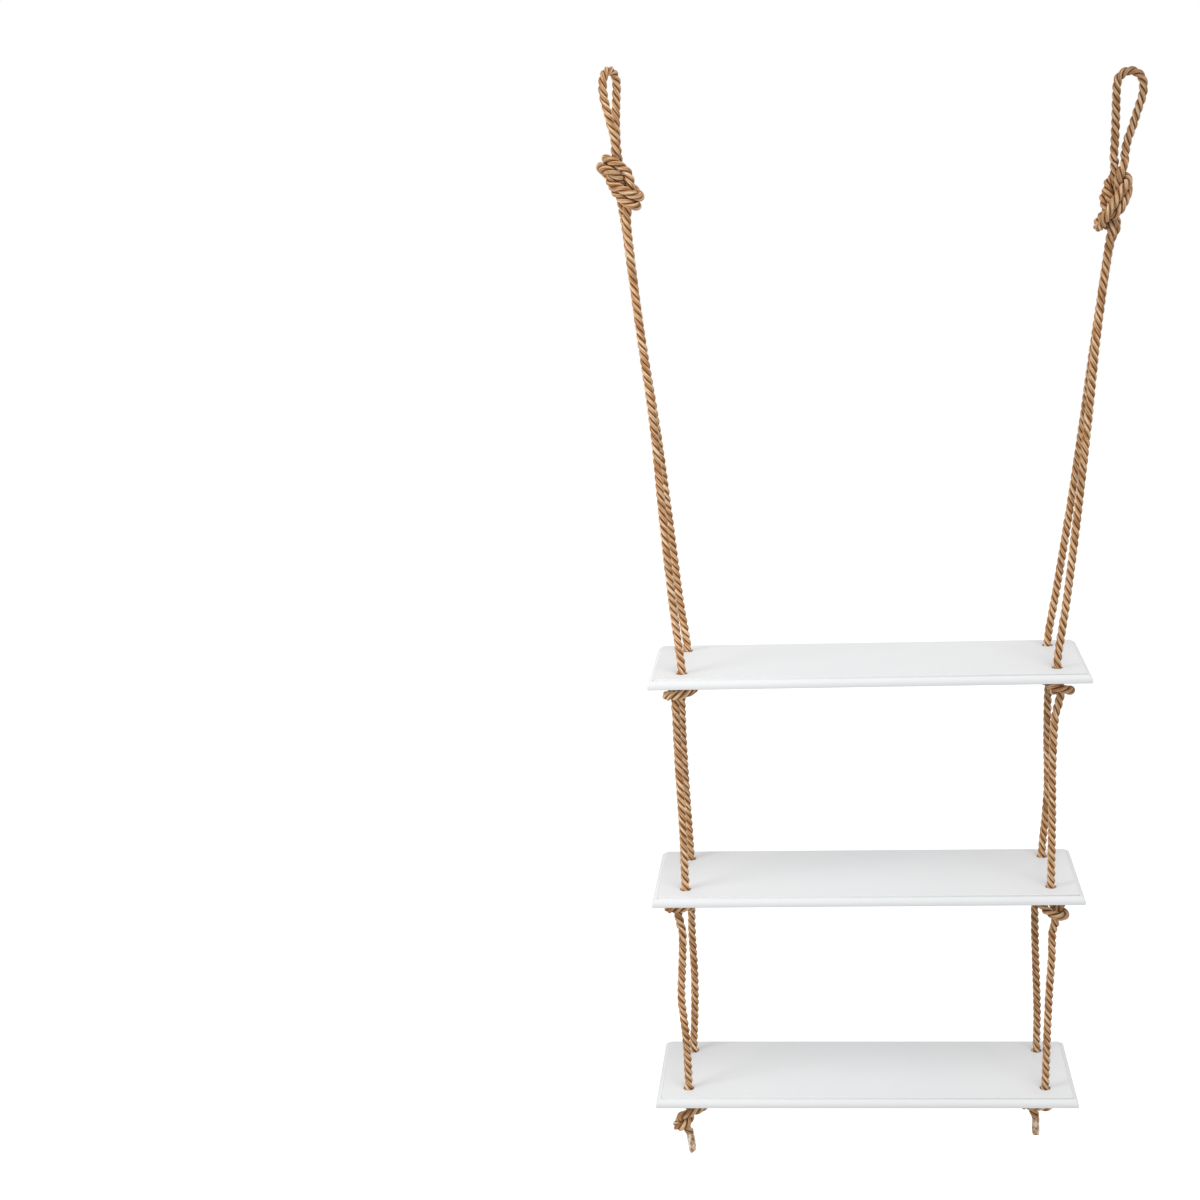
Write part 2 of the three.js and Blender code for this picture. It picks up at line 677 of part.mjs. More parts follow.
for (const tier of tiers) {
  const board = new THREE.Group();
  board.position.z = -tier.drop;
  board.rotation.y = -rad(tier.tiltDeg);
  group.add(board);
  group.updateMatrixWorld(true);
  addMesh(board, `${tier.name}_board`, boardShape, boardMaterial);
  const up = zAxis.clone().applyEuler(board.rotation);
  for (const rope of ropes) {
    const place = stopperKnots[tier.name][rope.name];
    const hole = new THREE.Vector3(rope.sx * holeX, rope.sy * holeY, 0);
    const holeTop = { point: board.localToWorld(hole.clone()), away: up };
    const bends = ropeBends[tier.name][rope.name];
    addRope(group, `${rope.name}_${tier.name}_rope`, stretchRoute(rope.exit, holeTop, bends), legStep);

    const route = stopperRoute(place).map((p) => p.add(hole).addScaledVector(zAxis, -boardThickness));
    const knotName = `${tier.name}_${rope.name}_knot`;
    addRope(board, knotName, route, knotStep);
    turnGaps[knotName] = leastTurnGap([route]);
    rope.exit = routeEnd(route.at(-1), route.at(-2), board);
    if (tier === tiers.at(-1)) {
      const away = route.at(-1).clone().sub(route.at(-2)).normalize();
      buildTail(board, rope.name, route.at(-1), away, tails[rope.name]);
    }
  }
}

const oneDecimal = (table) => Object.fromEntries(Object.entries(table).map(([k, v]) => [k, +v.toFixed(2)]));
console.log("rope in each piece, mm", oneDecimal(ropeLengths));
console.log("least gap between turns, mm", oneDecimal(turnGaps));

export default group;
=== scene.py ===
import bpy
import bmesh
import math
import random
from mathutils import Matrix, Vector, kdtree, noise


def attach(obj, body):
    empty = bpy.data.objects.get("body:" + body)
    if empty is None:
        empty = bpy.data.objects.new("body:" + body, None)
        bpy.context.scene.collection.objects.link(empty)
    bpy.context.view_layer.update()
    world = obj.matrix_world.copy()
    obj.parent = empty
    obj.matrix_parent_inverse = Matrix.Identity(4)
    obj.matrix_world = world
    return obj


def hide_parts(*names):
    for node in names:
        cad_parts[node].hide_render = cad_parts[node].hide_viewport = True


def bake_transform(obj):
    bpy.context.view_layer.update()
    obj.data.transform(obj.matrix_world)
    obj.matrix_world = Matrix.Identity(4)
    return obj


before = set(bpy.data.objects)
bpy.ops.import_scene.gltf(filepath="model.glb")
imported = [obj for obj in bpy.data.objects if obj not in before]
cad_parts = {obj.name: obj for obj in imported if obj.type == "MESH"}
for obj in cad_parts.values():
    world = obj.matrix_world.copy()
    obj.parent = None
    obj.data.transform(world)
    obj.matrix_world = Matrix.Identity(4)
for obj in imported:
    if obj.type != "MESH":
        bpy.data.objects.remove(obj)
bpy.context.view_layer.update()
print("frame loaded")


def addObject(name, data):
    made = bpy.data.objects.new(name, data)
    bpy.context.collection.objects.link(made)
    return made


def smoothButSharp(mesh):
    for face in mesh.faces:
        face.smooth = True
    for edge in mesh.edges:
        edge.smooth = edge.calc_face_angle(0) < math.radians(sharpAngle)


sharpAngle = 40

# Camera and light

shot = {
    "place": (-0.0462, -1.9103, -0.0406),
    "tiltDown": 13.57,
    "lens": 59.63,
    "shiftX": -0.185,
}
camera = addObject("camera", bpy.data.cameras.new("camera"))
camera.location = shot["place"]
camera.rotation_euler = (math.radians(90 - shot["tiltDown"]), 0, 0)
camera.data.lens = shot["lens"]
camera.data.shift_x = shot["shiftX"]
camera.data.clip_end = 60
bpy.context.scene.camera = camera
bpy.context.scene.view_settings.view_transform = "Standard"

lamps = {
    "key": {"place": (0.94, -2.3, 3.74), "aim": (0, 0, -0.6), "size": 2.7, "power": 76},
    "fill": {"place": (-1.0, -0.6, -0.2), "aim": (-0.2, 0, -0.5), "size": 0.5, "power": 4.6},
}
for name, lamp in lamps.items():
    light = bpy.data.lights.new(name, "AREA")
    light.size = lamp["size"]
    light.energy = lamp["power"]
    lampObject = addObject(name, light)
    lampObject.location = lamp["place"]
    aim = Vector(lamp["aim"]) - Vector(lamp["place"])
    lampObject.rotation_euler = aim.to_track_quat("-Z", "Y").to_euler()

sky = {"strength": 0.69}


def buildSky():
    world = bpy.data.worlds.new("studio")
    bpy.context.scene.world = world
    world.use_nodes = True
    nodes, links = world.node_tree.nodes, world.node_tree.links
    nodes.clear()
    out = nodes.new("ShaderNodeOutputWorld")
    background = nodes.new("ShaderNodeBackground")
    path = nodes.new("ShaderNodeLightPath")
    seen = nodes.new("ShaderNodeMath")
    seen.operation = "MAXIMUM"
    glossy = nodes.new("ShaderNodeMath")
    glossy.operation = "MAXIMUM"
    strength = nodes.new("ShaderNodeMapRange")
    strength.inputs["To Min"].default_value = sky["strength"]
    strength.inputs["To Max"].default_value = 1
    background.inputs["Color"].default_value = (1, 1, 1, 1)
    links.new(path.outputs["Is Camera Ray"], seen.inputs[0])
    links.new(path.outputs["Is Glossy Ray"], glossy.inputs[0])
    links.new(path.outputs["Is Transmission Ray"], glossy.inputs[1])
    links.new(glossy.outputs[0], seen.inputs[1])
    links.new(seen.outputs[0], strength.inputs["Value"])
    links.new(strength.outputs["Result"], background.inputs["Strength"])
    links.new(background.outputs[0], out.inputs["Surface"])


buildSky()


# Material helpers

def newMaterial(name):
    material = bpy.data.materials.new(name)
    material.use_nodes = True
    nodes = material.node_tree.nodes
    return material, nodes, material.node_tree.links, nodes["Principled BSDF"]


def linear(*srgb):
    # a colour as read from a picture, 0 to 255, made linear
    values = [v / 255 for v in srgb]
    return tuple(v / 12.92 if v < 0.04045 else ((v + 0.055) / 1.055) ** 2.4 for v in values) + (1,)


fibreLook = {
    "across": 2600.0,
    "along": 250.0,
    "detail": 3.0,
    "roughness": 0.6,
    "coarseScale": 0.2,
    "coarseDetail": 2,
    "coarseShare": 0.6,
}


def makeFibreGroup():
    # fine fibres running along a rope: a value from 0 to 1 for the colour, and one for the height
    group = bpy.data.node_groups.new("juteFibres", "ShaderNodeTree")
    group.interface.new_socket("Lay", in_out="INPUT", socket_type="NodeSocketVector")
    for label in ("Across", "Along", "Detail"):
        socket = group.interface.new_socket(label, in_out="INPUT", socket_type="NodeSocketFloat")
        socket.default_value = fibreLook[label.lower()]
    group.interface.new_socket("Tone", in_out="OUTPUT", socket_type="NodeSocketFloat")
    group.interface.new_socket("Height", in_out="OUTPUT", socket_type="NodeSocketFloat")
    nodes, links = group.nodes, group.links
    inside = nodes.new("NodeGroupInput")
    outside = nodes.new("NodeGroupOutput")
    stretch = nodes.new("ShaderNodeCombineXYZ")
    for axis, label in (("X", "Across"), ("Y", "Across"), ("Z", "Along")):
        links.new(inside.outputs[label], stretch.inputs[axis])
    scaled = nodes.new("ShaderNodeVectorMath")
    scaled.operation = "MULTIPLY"
    links.new(inside.outputs["Lay"], scaled.inputs[0])
    links.new(stretch.outputs[0], scaled.inputs[1])
    fine = nodes.new("ShaderNodeTexNoise")
    fine.inputs["Scale"].default_value = 1
    fine.inputs["Roughness"].default_value = fibreLook["roughness"]
    links.new(inside.outputs["Detail"], fine.inputs["Detail"])
    links.new(scaled.outputs[0], fine.inputs["Vector"])
    coarse = nodes.new("ShaderNodeTexNoise")
    coarse.inputs["Scale"].default_value = fibreLook["coarseScale"]
    coarse.inputs["Detail"].default_value = fibreLook["coarseDetail"]
    links.new(scaled.outputs[0], coarse.inputs["Vector"])
    mixed = nodes.new("ShaderNodeMix")
    mixed.inputs["Factor"].default_value = fibreLook["coarseShare"]
    links.new(fine.outputs["Fac"], mixed.inputs["A"])
    links.new(coarse.outputs["Fac"], mixed.inputs["B"])
    links.new(mixed.outputs["Result"], outside.inputs["Tone"])
    links.new(fine.outputs["Fac"], outside.inputs["Height"])
    return group


fibres = makeFibreGroup()

juteLook = {
    # painted shade: the crease and flank colours darken the grooves between the strands and the strands'
    # sides, where shade falls
    "creaseShade": linear(84, 34, 6),
    "flankShade": linear(160, 100, 48),
    "dark": linear(162, 106, 58),
    "middle": linear(211, 169, 124),
    "pale": linear(248, 222, 188),
    "bump": 0.7,
    "bumpDepth": 0.0006,
    "toneStops": (0.40, 0.5, 0.60),
    "grooveStop": 0.55,
    "depthFrom": 0.05,
    "depthTo": 0.95,
    "patchScale": 18,
    "patchFrom": 0.3,
    "patchTo": 0.7,
    "patchLow": 0.90,
    "patchHigh": 1.06,
    "roughness": 0.88,
    "specular": 0.15,
    "sheen": 0.04,
    "sheenRoughness": 0.5,
}


def juteMaterial(name):
    material, nodes, links, shader = newMaterial(name)
    lay = nodes.new("ShaderNodeAttribute")
    lay.attribute_name = "lay"
    crown = nodes.new("ShaderNodeAttribute")
    crown.attribute_name = "crown"
    grain = nodes.new("ShaderNodeGroup")
    grain.node_tree = fibres
    links.new(lay.outputs["Vector"], grain.inputs["Lay"])
    ramp = nodes.new("ShaderNodeValToRGB")
    stops = ramp.color_ramp.elements
    stops[0].position, stops[0].color = juteLook["toneStops"][0], juteLook["dark"]
    stops[1].position, stops[1].color = juteLook["toneStops"][2], juteLook["pale"]
    middle = stops.new(juteLook["toneStops"][1])
    middle.color = juteLook["middle"]
    links.new(grain.outputs["Tone"], ramp.inputs["Fac"])
    # painted shade in the grooves between the strands: the crease colour at the bottom of a groove, rising
    # to the flank colour up a strand's side
    grooveShade = nodes.new("ShaderNodeValToRGB")
    steps = grooveShade.color_ramp.elements
    steps[0].position, steps[0].color = 0.0, juteLook["creaseShade"]
    steps[1].position, steps[1].color = juteLook["grooveStop"], juteLook["flankShade"]
    links.new(crown.outputs["Fac"], grooveShade.inputs["Fac"])
    # the crown value mixes this painted groove shade into the fibre tone, so only the strands' crowns show
    # the fibre tone in full
    depth = nodes.new("ShaderNodeMapRange")
    depth.interpolation_type = "SMOOTHSTEP"
    depth.inputs["From Min"].default_value = juteLook["depthFrom"]
    depth.inputs["From Max"].default_value = juteLook["depthTo"]
    links.new(crown.outputs["Fac"], depth.inputs["Value"])
    shade = nodes.new("ShaderNodeMix")
    shade.data_type = "RGBA"
    links.new(grooveShade.outputs["Color"], shade.inputs["A"])
    links.new(depth.outputs["Result"], shade.inputs["Factor"])
    links.new(ramp.outputs["Color"], shade.inputs["B"])
    place = nodes.new("ShaderNodeTexCoord")
    patches = nodes.new("ShaderNodeTexNoise")
    patches.inputs["Scale"].default_value = juteLook["patchScale"]
    patches.inputs["Detail"].default_value = 2
    links.new(place.outputs["Object"], patches.inputs["Vector"])
    level = nodes.new("ShaderNodeMapRange")
    level.inputs["From Min"].default_value = juteLook["patchFrom"]
    level.inputs["From Max"].default_value = juteLook["patchTo"]
    level.inputs["To Min"].default_value = juteLook["patchLow"]
    level.inputs["To Max"].default_value = juteLook["patchHigh"]
    links.new(patches.outputs["Fac"], level.inputs["Value"])
    # painted light and shade per vertex: the left rope lighter, the right rope and its loop darker
    own = nodes.new("ShaderNodeAttribute")
    own.attribute_name = "toneAndPaintedLight"
    both = nodes.new("ShaderNodeMath")
    both.operation = "MULTIPLY"
    links.new(level.outputs["Result"], both.inputs[0])
    links.new(own.outputs["Fac"], both.inputs[1])
    toneAndPaintedLight = nodes.new("ShaderNodeVectorMath")
    toneAndPaintedLight.operation = "SCALE"
    links.new(shade.outputs["Result"], toneAndPaintedLight.inputs[0])
    links.new(both.outputs[0], toneAndPaintedLight.inputs["Scale"])
    links.new(toneAndPaintedLight.outputs[0], shader.inputs["Base Color"])
    bump = nodes.new("ShaderNodeBump")
    bump.inputs["Strength"].default_value = juteLook["bump"]
    bump.inputs["Distance"].default_value = juteLook["bumpDepth"]
    links.new(grain.outputs["Height"], bump.inputs["Height"])
    links.new(bump.outputs["Normal"], shader.inputs["Normal"])
    shader.inputs["Roughness"].default_value = juteLook["roughness"]
    shader.inputs["Specular IOR Level"].default_value = juteLook["specular"]
    shader.inputs["Sheen Weight"].default_value = juteLook["sheen"]
    shader.inputs["Sheen Roughness"].default_value = juteLook["sheenRoughness"]
    return material


jute = juteMaterial("juteRope")
print("rope material ready")

# The ropes' lines.
# Each rope is one line from its front tail, up through the knots and boards, over the hook
# and down to its rear tail, so that its lay runs on without a break.

mm = 0.001
rope = {
    "diameter": 0.0085,
    "touchGap": 0.0003,
    "leadIn": 0.005,
    "layPitch": 0.0240,
    "strandShare": 0.52,
    "tapedShare": 0.84,
    "fibreGap": 0.0011,
    "fibreTurnShare": 0.3,
    "fibreClear": 6,
    "contactReach": 1.45,
    "contactTouch": 1.05,
    "contactDepth": 0.85,
    "roundPoints": 30,
    "step": 0.001,
    "knotSwell": 1.055,
    "hiddenShare": 0.93,
    "tapeEase": 0.004,
    "sameTurn": 0.012,
    "slowWobble": 0.022,
    "quickWobble": 0.012,
}
hair = {
    "rise": (0.0003, 0.0016),
    "length": (0.0015, 0.0045),
    "width": (0.00003, 0.00006),
    "root": 0.86,
    "arch": 1.6,
    "archTurn": 2.2,
    "drift": 0.8,
    "thinning": 0.8,
    "corners": (0, 2.1, 4.2),
}
boardSize = {
    "length": 0.430, "depth": 0.138, "thick": 0.0095,
    "holeX": 0.183, "holeY": 0.0425, "holeRadius": 0.0055,
}
tierFacts = {
    "upper": {"drop": 0.562, "tilt": 0.95},
    "middle": {"drop": 0.788, "tilt": 0.44},
    "lower": {"drop": 1.007, "tilt": 0.0},
}
hooks = {
    "left": {
        "hookX": -242, "bightX": -1.8, "turn": 64,
        "front": [(1.6, -5.2, -55), (-1.4, -7, -43), (-4.4, -9.2, -30), (-6.8, -11, -17)],
        "rear": [(2.7, 5.2, -55), (2.2, 7, -43), (2.6, 9.1, -30), (3.2, 10.9, -17)],
    },
    "right": {
        "hookX": 242, "bightX": -1.4, "turn": 0,
        "front": [(-14.3, 0, -75), (-13.9, 0, -60), (-13.8, 0, -46), (-13.9, 0, -31), (-14, 0, -17)],
        "rear": [(-4.3, 0, -75), (-2.4, 0, -60), (2.1, 0, -46), (6.4, 0, -31), (10.5, 0, -17)],
    },
}
bightRadius = 12.3
ropeBends = {
    "upper": {
        "front_left": [(0.2, -0.4, 0), (0.45, 1.7, 0.6), (0.66, -0.4, 0), (0.86, -0.9, -0.5)],
        "rear_left": [(0.25, -0.6, 0), (0.5, 1.2, -0.5), (0.72, 0.2, 0.4), (0.88, -0.8, 0)],
        "front_right": [(0.21, -1, 0.3), (0.43, 0.8, 0), (0.64, 1.8, -0.6), (0.86, 1.6, 0)],
        "rear_right": [(0.22, -0.6, 0), (0.45, 1, 0.4), (0.66, 1.4, 0), (0.86, 0.8, -0.3)],
    },
    "middle": {
        "front_left": [(0.3, -0.2, 0.6), (0.65, 0.7, -0.4)],
        "rear_left": [(0.25, -1.2, 0), (0.6, -1, 0.5)],
        "front_right": [(0.3, -1.6, 0.3), (0.65, -0.4, -0.5)],
        "rear_right": [(0.3, 0.8, 0.4), (0.62, 3.2, 0)],
    },
    "lower": {
        "front_left": [(0.2, -1.4, 0), (0.43, -3.8, 0.6), (0.7, -0.6, 0)],
        "rear_left": [(0.2, 0.4, 0), (0.55, 2.4, -0.5), (0.8, 1.6, 0)],
        "front_right": [(0.15, 0.5, 0.2), (0.4, -0.3, 0.5), (0.68, -0.5, -0.3)],
        "rear_right": [(0.2, -0.8, 0), (0.5, 0.2, 0.4), (0.75, 0.9, 0)],
    },
}
tails = {
    "front_left": {"length": 22, "lean": (3.8, -1), "cut": 34},
    "rear_left": {"length": 19.5, "lean": (-1.5, 1), "cut": 12},
    "front_right": {"length": 20.7, "lean": (0.9, -0.6), "cut": -6},
    "rear_right": {"length": 17.5, "lean": (1.6, 0.8), "cut": 20},
    "leadIn": 1.2,
}
radius = rope["diameter"] / 2


def solidLine(nodeName):
    # the middle line of a tube: its rings of points, walked from the topmost ring down the tube
    mesh = bmesh.new()
    mesh.from_mesh(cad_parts[nodeName].data)
    bmesh.ops.remove_doubles(mesh, verts=mesh.verts, dist=1e-6)
    ring = sorted(mesh.verts, key=lambda v: -v.co.z)[:8]
    seen = set(ring)
    line = []
    while ring:
        line.append(sum((v.co for v in ring), Vector()) / len(ring))
        beyond = {edge.other_vert(v) for v in ring for edge in v.link_edges} - seen
        seen |= beyond
        ring = sorted(beyond, key=lambda v: v.index)
    mesh.free()
    return line


def endOf(line):
    # the end of a knot's line and the way that its rope points there
    return line[-1], (line[-1] - line[-2]).normalized()


def stretchPoints(fromEnd, toEnd, bends):
    start = fromEnd[0] + fromEnd[1] * rope["touchGap"]
    end = toEnd[0] + toEnd[1] * rope["touchGap"]
    first = start + fromEnd[1] * rope["leadIn"]
    last = end + toEnd[1] * rope["leadIn"]
    bent = [first.lerp(last, share) + Vector((x, y, 0)) * mm for share, x, y in bends]
    return [start, first, *bent, last, end]


def loopPoints(side, frontNeck, rearNeck):
    hook = hooks[side]
    place = Vector((hook["hookX"] * mm, 0, 0))
    centre = place + Vector((hook["bightX"] * mm, 0, radius - bightRadius * mm))
    across = Vector((-math.cos(math.radians(hook["turn"])), -math.sin(math.radians(hook["turn"])), 0))
    bight = []
    for i in range(7):
        turn = math.pi * i / 6
        out = across * math.cos(turn) + Vector((0, 0, 1)) * math.sin(turn)
        bight.append(centre + out * bightRadius * mm)
    starts = []
    for point, away in (frontNeck, rearNeck):
        base = point + away * rope["touchGap"]
        starts.append([base, base + away * rope["leadIn"]])
    frontLeg = [place + Vector(p) * mm for p in hook["front"]]
    rearLeg = [place + Vector(p) * mm for p in hook["rear"]]
    return starts[0] + frontLeg + bight + rearLeg[::-1] + starts[1][::-1]


def tailPoints(name, knotEnd):
    tail = tails[name]
    start = knotEnd[0] + knotEnd[1] * rope["touchGap"]
    bend = start + knotEnd[1] * tails["leadIn"] * mm
    tip = start + Vector((*tail["lean"], -tail["length"])) * mm
    beyond = tip + (tip - bend).normalized() * rope["diameter"]
    points = [start, bend, *(bend.lerp(beyond, share) for share in (0.25, 0.5, 0.75)), beyond]
    return points, bend, tip


def rowPieces(side, row):
    # the pieces of one half of a rope, from its top knot down, each with its points
    name = f"{row}_{side}"
    strand = solidLine(f"{side}_top_knot_{row}_strand")
    pieces = [(f"{side}_top_knot_{row}_strand", strand)]
    below = endOf(strand)
    for tier in tierFacts:
        knot = solidLine(f"{tier}_{name}_knot")
        holeTop = (knot[0], (knot[0] - knot[1]).normalized())
        pieces.append((f"{name}_{tier}_rope", stretchPoints(below, holeTop, ropeBends[tier][name])))
        pieces.append((f"{tier}_{name}_knot", knot))
        below = endOf(knot)
    points, bend, tip = tailPoints(name, below)
    pieces.append((f"{name}_tail", points))
    return pieces, bend, tip


def smoothLine(points, step):
    # a smooth curve through the points, at even steps, and how far along each point lies
    padded = [points[0] * 2 - points[1], *points, points[-1] * 2 - points[-2]]
    dense = []
    marks = []
    for i in range(1, len(padded) - 2):
        a, b, c, d = padded[i - 1:i + 3]
        knots = [0.0]
        for p, q in ((a, b), (b, c), (c, d)):
            knots.append(knots[-1] + max((q - p).length, 1e-7) ** 0.5)
        t0, t1, t2, t3 = knots
        count = max(2, int((c - b).length / step * 4))
        marks.append(len(dense))
        for k in range(count):
            t = t1 + (t2 - t1) * k / count
            ab = a * ((t1 - t) / (t1 - t0)) + b * ((t - t0) / (t1 - t0))
            bc = b * ((t2 - t) / (t2 - t1)) + c * ((t - t1) / (t2 - t1))
            cd = c * ((t3 - t) / (t3 - t2)) + d * ((t - t2) / (t3 - t2))
            abc = ab * ((t2 - t) / (t2 - t0)) + bc * ((t - t0) / (t2 - t0))
            bcd = bc * ((t3 - t) / (t3 - t1)) + cd * ((t - t1) / (t3 - t1))
            dense.append(abc * ((t2 - t) / (t2 - t1)) + bcd * ((t - t1) / (t2 - t1)))
    marks.append(len(dense))
    dense.append(points[-1])
    reached = [0.0]
    for i in range(1, len(dense)):
        reached.append(reached[-1] + (dense[i] - dense[i - 1]).length)
    total = reached[-1]
    count = round(total / step)
    even = []
    at = 0
    for k in range(count + 1):
        want = total * k / count
        while at < len(dense) - 2 and reached[at + 1] < want:
            at += 1
        span = reached[at + 1] - reached[at]
        even.append(dense[at].lerp(dense[at + 1], (want - reached[at]) / span if span else 0))
    return even, [reached[m] for m in marks], total / count


def layFrames(line):
    # across directions carried along the line without turning about it
    across = (line[1] - line[0]).orthogonal().normalized()
    frames = []
    for i, point in enumerate(line):
        ahead = (line[min(i + 1, len(line) - 1)] - line[max(i - 1, 0)]).normalized()
        across = (across - ahead * across.dot(ahead)).normalized()
        frames.append((point, across, ahead.cross(across)))
    return frames


def strandProfile():
    # the section of a three-strand rope: distance from the middle, angle and height on its strand
    big = rope["strandShare"]
    off = 1 - big
    section = []
    for i in range(rope["roundPoints"]):
        angle = 2 * math.pi * i / rope["roundPoints"]
        within = (angle % (2 * math.pi / 3)) - math.pi / 3
        reach = off * math.cos(within) + math.sqrt(big ** 2 - (off * math.sin(within)) ** 2)
        section.append((reach, angle))
    low = min(reach for reach, angle in section)
    return [(reach, angle, (reach - low) / (1 - low)) for reach, angle in section]


section = strandProfile()
# painted light and shade: the left rope is lit a little more; the right rope, and most of all its loop, are
# shaded
ropeLightAndShade = {"left": 1.03, "right": 0.95, "rightLoop": 0.78, "loopFrom": -0.11, "loopTo": -0.07}


def addFibres(name, frames, first, last, verts, faces, lays, crowns):
    # short stray fibres that stand off the rope, each a thin three-sided hair of three lengths
    chance = random.Random(name)
    span = (last - first) * rope["step"]
    # a stretch stays free of them near its ends, where it moves in a board's hole
    clear = rope["fibreClear"] if name.endswith("_rope_jute") else 0
    for count in range(int(span / rope["fibreGap"])):
        i = chance.randint(first + 2 + clear, last - 6 - clear)
        angle = chance.uniform(0, 2 * math.pi)
        lean = chance.uniform(-1.0, 1.0)
        rise = chance.uniform(*hair["rise"])
        length = chance.uniform(*hair["length"])
        width = chance.uniform(*hair["width"])
        base = len(verts)
        for k in range(4):
            point, across, up = frames[i]
            ahead = (frames[i + 1][0] - point).normalized()
            outward = across * math.cos(angle) + up * math.sin(angle)
            around = up * math.cos(angle) - across * math.sin(angle)
            share = k / 3
            height = radius * hair["root"] + rise * hair["arch"] * math.sin(share * hair["archTurn"])
            middle = (point + outward * height + ahead * (length * share)
                      + around * (lean * length * share * hair["drift"]))
            thin = width * (1 - hair["thinning"] * share)
            for turn in hair["corners"]:
                verts.append(middle + (outward * math.cos(turn) + around * math.sin(turn)) * thin)
                lays.append((math.cos(angle) * radius, math.sin(angle) * radius, i * rope["step"]))
                crowns.append(1.0)
        for k in range(3):
            for c in range(3):
                a, b = base + k * 3 + c, base + k * 3 + (c + 1) % 3
                faces.append((a, b, b + 3, a + 3))
        faces.append((base + 2, base + 1, base))
        faces.append((base + 9, base + 10, base + 11))


def contactShade(turns, spot, i):
    # 1 where the surface touches another turn of the rope, falling to 0 a little way off
    reach = radius * rope["contactReach"]
    apart = rope["sameTurn"] / rope["step"]
    nearest = min((away for place, j, away in turns.find_range(spot, reach) if abs(j - i) > apart),
                  default=reach)
    return min(1, (reach - nearest) / (reach - radius * rope["contactTouch"]))


def lightAndShadeAt(point):
    # painted light and shade: the right rope is a little darker than the left one, most of all in its loop,
    # and the left one is a little lighter
    if point.x < 0:
        return ropeLightAndShade["left"]
    start, end = ropeLightAndShade["loopFrom"], ropeLightAndShade["loopTo"]
    rise = min(1, max(0, (point.z - start) / (end - start)))
    return ropeLightAndShade["right"] + (ropeLightAndShade["rightLoop"] - ropeLightAndShade["right"]) * rise


def sweepRope(name, frames, first, last, swell=1.0, hidden=0, taped=0, turns=None):
    # a laid rope over frames first to last; its ends are slimmed where they hide in the next
    # piece, and the tape squeezes a tail from its last frames (taped 1) or its first ones (-1)
    verts, faces, lays, crowns = [], [], [], []
    around = len(section)
    for i in range(first, last + 1):
        point, across, up = frames[i]
        along = i * rope["step"]
        turn = -2 * math.pi * along / rope["layPitch"]
        slim = 1.0
        if i - first < hidden or last - i < hidden:
            slim = rope["hiddenShare"]
        if taped:
            fromKnot = (i - first if taped > 0 else last - i) * rope["step"]
            ease = min(1, fromKnot / rope["tapeEase"])
            slim = 1 - (1 - rope["tapedShare"]) * ease * ease * (3 - 2 * ease)
        for reach, angle, height in section:
            strand = int(angle / (2 * math.pi / 3) + 1e-6)
            wobble = noise.noise(Vector((along * 70, strand * 9.1, 0.5))) * rope["slowWobble"]
            wobble += noise.noise(Vector((along * 420, angle * 3.0, 7.5))) * rope["quickWobble"]
            distance = radius * swell * slim * reach * (1 + wobble)
            world = angle + turn
            verts.append(point + across * math.cos(world) * distance + up * math.sin(world) * distance)
            fibre = angle + turn * rope["fibreTurnShare"]
            lays.append((math.cos(fibre) * radius, math.sin(fibre) * radius, along))
            # painted shade where the rope touches another turn: it lowers the crown value, so the groove
            # shade spreads over the touching part
            darkened = rope["contactDepth"] * contactShade(turns, verts[-1], i) if turns else 0
            crowns.append(height * (1 - darkened) if turns else height)
    rings = last - first + 1
    for r in range(rings - 1):
        for k in range(around):
            a = r * around + k
            b = r * around + (k + 1) % around
            faces.append((a, b, b + around, a + around))
    faces.append(tuple(range(around - 1, -1, -1)))
    faces.append(tuple(range((rings - 1) * around, rings * around)))
    if not taped:
        addFibres(name, frames, first, last, verts, faces, lays, crowns)
    mesh = bpy.data.meshes.new(name)
    mesh.from_pydata(verts, [], faces)
    lay = mesh.attributes.new("lay", "FLOAT_VECTOR", "POINT")
    lay.data.foreach_set("vector", [value for triple in lays for value in triple])
    # the crown value: height on a strand, lowered by the painted contact shade; it masks the painted groove
    # shade
    crown = mesh.attributes.new("crown", "FLOAT", "POINT")
    crown.data.foreach_set("value", crowns)
    # painted light and shade: the left rope lighter, the right rope and its loop darker
    toneAndPaintedLight = mesh.attributes.new("toneAndPaintedLight", "FLOAT", "POINT")
    toneAndPaintedLight.data.foreach_set("value", [lightAndShadeAt(vert) for vert in verts])
    mesh.shade_smooth()
    mesh.materials.append(jute)
    return addObject(name, mesh)


def bodyFor(name):
    row, side, tier = name.split("_")[:3]
    if name.endswith("_strand"):
        return "top_knots"
    if name.endswith("_knot"):
        return name.split("_")[0] + "_tier"
    if name.endswith("_tail"):
        return "lower_tier"
    return f"{side}_upper_ropes" if tier == "upper" else f"{tier}_{row}_ropes"


def restOnBodies(piece, name):
    # loops and stretches are baked in place where they are; every other piece is hung on its body
    if name.endswith("_loop"):
        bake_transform(piece)
        return
    body = bodyFor(name)
    if name.endswith("_rope"):
        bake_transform(piece)
    else:
        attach(piece, body)


